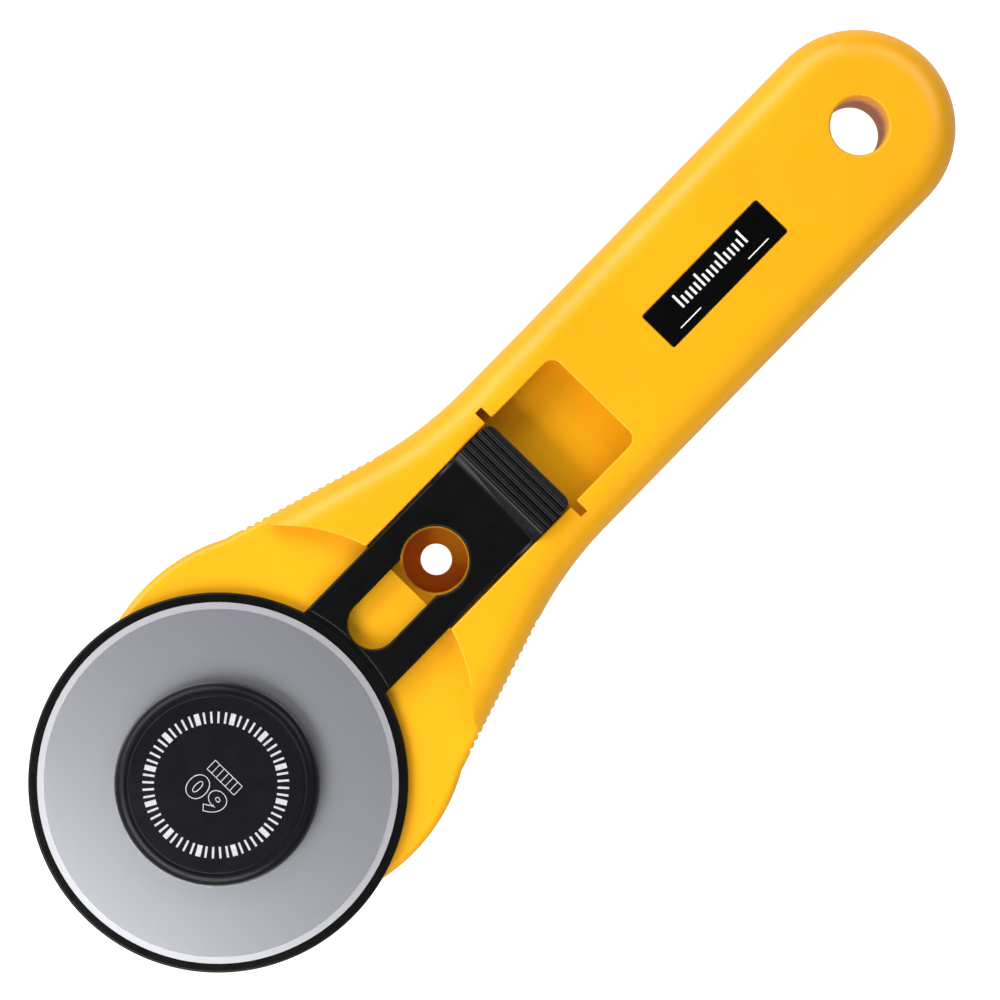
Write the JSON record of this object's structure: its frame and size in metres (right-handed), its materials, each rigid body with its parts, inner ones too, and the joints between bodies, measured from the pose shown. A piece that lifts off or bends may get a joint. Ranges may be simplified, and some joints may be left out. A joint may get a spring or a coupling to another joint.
{
  "type": "rotary cutter",
  "caption": "Straight-handled rotary cloth cutter: round steel blade on a bolt and thumb nut, sliding blade guard with thumb pad, and a moulded handle with a hanging hole.",
  "frame": {"origin": "middle of the footprint, on the surface that the cutter's back lies on", "axes": "+X along the handle from the blade to the hanging hole, +Z out of the blade side, away from the surface"},
  "size_m": [0.2004, 0.0632, 0.0214],
  "materials": {
    "yellow_plastic": "satin moulded",
    "black_plastic": "satin moulded",
    "label_foil": "smooth foil",
    "blade_steel": "fine circular grinding, bright ground edge",
    "bolt_steel": "turned and plated",
    "spring_steel": "smooth",
    "brass": "turned"
  },
  "bodies": {
    "handle": {"handle_front_shell": "yellow_plastic", "handle_back_shell": "yellow_plastic", "label_plate": "label_foil"},
    "guard": {"blade_guard": "black_plastic"},
    "bolt": {"bolt_cap": "black_plastic", "bolt_stud": "bolt_steel"},
    "blade": {"rotary_blade": "blade_steel"},
    "washer": {"spring_washer": "spring_steel"},
    "nut": {"nut_knob": "black_plastic", "nut_insert": "brass"}
  },
  "joints": [
    {"name": "guard_slide", "type": "slide", "parent": "handle", "child": "guard", "axis": [1, 0, 0], "range_m": [0, 0.0143]},
    {"name": "bolt_out", "type": "slide", "parent": "handle", "child": "bolt", "axis": [0, 0, 1], "range_m": [0, 0.014]},
    {"name": "blade_spin", "type": "hinge", "parent": "bolt", "child": "blade", "pos_m": [-0.0686, 0, 0.01695], "axis": [0, 0, 1], "continuous": true},
    {"name": "washer_follow", "type": "slide", "parent": "handle", "child": "washer", "axis": [0, 0, -1], "range_m": [0, 0.0046]},
    {"name": "nut_turn", "type": "hinge", "parent": "washer", "child": "nut", "pos_m": [-0.0686, 0, 0.0049], "axis": [0, 0, -1], "range_deg": [0, 1620]}
  ],
  "couplings": [
    {"joint": "washer_follow", "follows": "nut_turn", "m_per_rad": 0.00015915}
  ]
}
